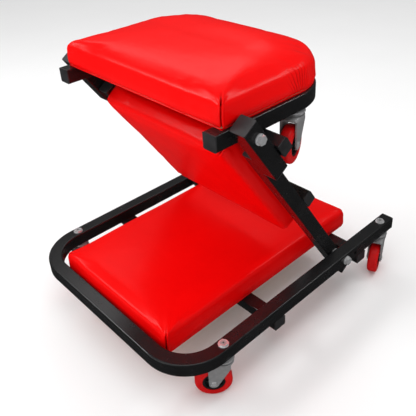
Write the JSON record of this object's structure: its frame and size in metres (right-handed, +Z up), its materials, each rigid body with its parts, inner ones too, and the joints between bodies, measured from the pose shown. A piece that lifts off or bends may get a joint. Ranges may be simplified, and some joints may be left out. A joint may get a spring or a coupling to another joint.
{
  "type": "mechanics creeper",
  "caption": "Folding mechanics creeper with a black tube frame, hinged padded sections and swivel casters, standing in its seat position.",
  "frame": {"origin": "on the floor, under the centre of the object's box in the seat position", "axes": "+X from the rounded end of the base towards its open ends, +Y to the right side, +Z up"},
  "size_m": [0.553, 0.4716, 0.5025],
  "materials": {
    "frame_steel": "semi-gloss black powder coat",
    "end_cap": "fine texture",
    "pad_board": "plain plywood",
    "pad_vinyl": "smooth glossy red vinyl",
    "hardware": "bright zinc",
    "caster_plate": "bright zinc",
    "wheel_hub": "moulded",
    "wheel_tyre": "satin red polyurethane"
  },
  "bodies": {
    "base": {"base_frame": "frame_steel", "base_crossbar_front": "frame_steel", "base_crossbar_rear": "frame_steel", "base_end_caps": "end_cap", "base_pad_board": "pad_board", "base_pad_cushion": "pad_vinyl", "base_pad_screws": "hardware", "base_pivot_bolts": "hardware", "base_pivot_nuts": "hardware", "base_caster_nuts": "hardware", "caster_fl_race": "caster_plate", "caster_fr_race": "caster_plate", "caster_rl_race": "caster_plate", "caster_rr_race": "caster_plate"},
    "middle": {"arm_left": "frame_steel", "arm_right": "frame_steel", "stub_left": "frame_steel", "stub_right": "frame_steel", "middle_crossbar_upper": "frame_steel", "middle_crossbar_lower": "frame_steel", "middle_end_caps": "end_cap", "middle_pad_board": "pad_board", "middle_pad_cushion": "pad_vinyl", "middle_pad_screws": "hardware"},
    "seat": {"seat_frame": "frame_steel", "seat_crossbar_hinge": "frame_steel", "seat_crossbar_outer": "frame_steel", "seat_end_caps": "end_cap", "seat_pad_board": "pad_board", "seat_pad_cushion": "pad_vinyl", "seat_pad_screws": "hardware", "seat_pivot_bolts": "hardware", "seat_pivot_nuts": "hardware", "seat_caster_nuts": "hardware", "caster_sl_race": "caster_plate", "caster_sr_race": "caster_plate"},
    "fork_front_left": {"caster_fl_fork": "caster_plate", "caster_fl_axle": "hardware"},
    "wheel_front_left": {"caster_fl_hub": "wheel_hub", "caster_fl_tyre": "wheel_tyre"},
    "fork_front_right": {"caster_fr_fork": "caster_plate", "caster_fr_axle": "hardware"},
    "wheel_front_right": {"caster_fr_hub": "wheel_hub", "caster_fr_tyre": "wheel_tyre"},
    "fork_rear_left": {"caster_rl_fork": "caster_plate", "caster_rl_axle": "hardware"},
    "wheel_rear_left": {"caster_rl_hub": "wheel_hub", "caster_rl_tyre": "wheel_tyre"},
    "fork_rear_right": {"caster_rr_fork": "caster_plate", "caster_rr_axle": "hardware"},
    "wheel_rear_right": {"caster_rr_hub": "wheel_hub", "caster_rr_tyre": "wheel_tyre"},
    "fork_seat_left": {"caster_sl_fork": "caster_plate", "caster_sl_axle": "hardware"},
    "wheel_seat_left": {"caster_sl_hub": "wheel_hub", "caster_sl_tyre": "wheel_tyre"},
    "fork_seat_right": {"caster_sr_fork": "caster_plate", "caster_sr_axle": "hardware"},
    "wheel_seat_right": {"caster_sr_hub": "wheel_hub", "caster_sr_tyre": "wheel_tyre"}
  },
  "joints": [
    {"name": "base_hinge", "type": "hinge", "parent": "base", "child": "middle", "pos_m": [0.1205, 0, 0.0918], "axis": [0, 1, 0], "range_deg": [0, 124]},
    {"name": "seat_hinge", "type": "hinge", "parent": "middle", "child": "seat", "pos_m": [-0.11156, 0, 0.43585], "axis": [0, -1, 0], "range_deg": [0, 124]},
    {"name": "swivel_front_left", "type": "hinge", "parent": "base", "child": "fork_front_left", "pos_m": [-0.1825, -0.21, 0.079], "axis": [0, 0, 1], "continuous": true},
    {"name": "roll_front_left", "type": "hinge", "parent": "fork_front_left", "child": "wheel_front_left", "pos_m": [-0.19727, -0.19804, 0.0305], "axis": [-0.6293, -0.7771, 0], "continuous": true},
    {"name": "swivel_front_right", "type": "hinge", "parent": "base", "child": "fork_front_right", "pos_m": [-0.1825, 0.21, 0.079], "axis": [0, 0, 1], "continuous": true},
    {"name": "roll_front_right", "type": "hinge", "parent": "fork_front_right", "child": "wheel_front_right", "pos_m": [-0.19727, 0.19804, 0.0305], "axis": [0.6293, -0.7771, 0], "continuous": true},
    {"name": "swivel_rear_left", "type": "hinge", "parent": "base", "child": "fork_rear_left", "pos_m": [0.2485, -0.21, 0.079], "axis": [0, 0, 1], "continuous": true},
    {"name": "roll_rear_left", "type": "hinge", "parent": "fork_rear_left", "child": "wheel_rear_left", "pos_m": [0.23088, -0.21712, 0.0305], "axis": [0.3746, -0.9272, 0], "continuous": true},
    {"name": "swivel_rear_right", "type": "hinge", "parent": "base", "child": "fork_rear_right", "pos_m": [0.2485, 0.21, 0.079], "axis": [0, 0, 1], "continuous": true},
    {"name": "roll_rear_right", "type": "hinge", "parent": "fork_rear_right", "child": "wheel_rear_right", "pos_m": [0.23088, 0.21712, 0.0305], "axis": [-0.3746, -0.9272, 0], "continuous": true},
    {"name": "swivel_seat_left", "type": "hinge", "parent": "seat", "child": "fork_seat_left", "pos_m": [0.01043, -0.182, 0.42365], "axis": [0, 0, 1], "continuous": true},
    {"name": "roll_seat_left", "type": "hinge", "parent": "fork_seat_left", "child": "wheel_seat_left", "pos_m": [-0.00742, -0.1885, 0.37515], "axis": [0.342, -0.9397, 0], "continuous": true},
    {"name": "swivel_seat_right", "type": "hinge", "parent": "seat", "child": "fork_seat_right", "pos_m": [0.01043, 0.182, 0.42365], "axis": [0, 0, 1], "continuous": true},
    {"name": "roll_seat_right", "type": "hinge", "parent": "fork_seat_right", "child": "wheel_seat_right", "pos_m": [-0.00742, 0.1885, 0.37515], "axis": [-0.342, -0.9397, 0], "continuous": true}
  ]
}
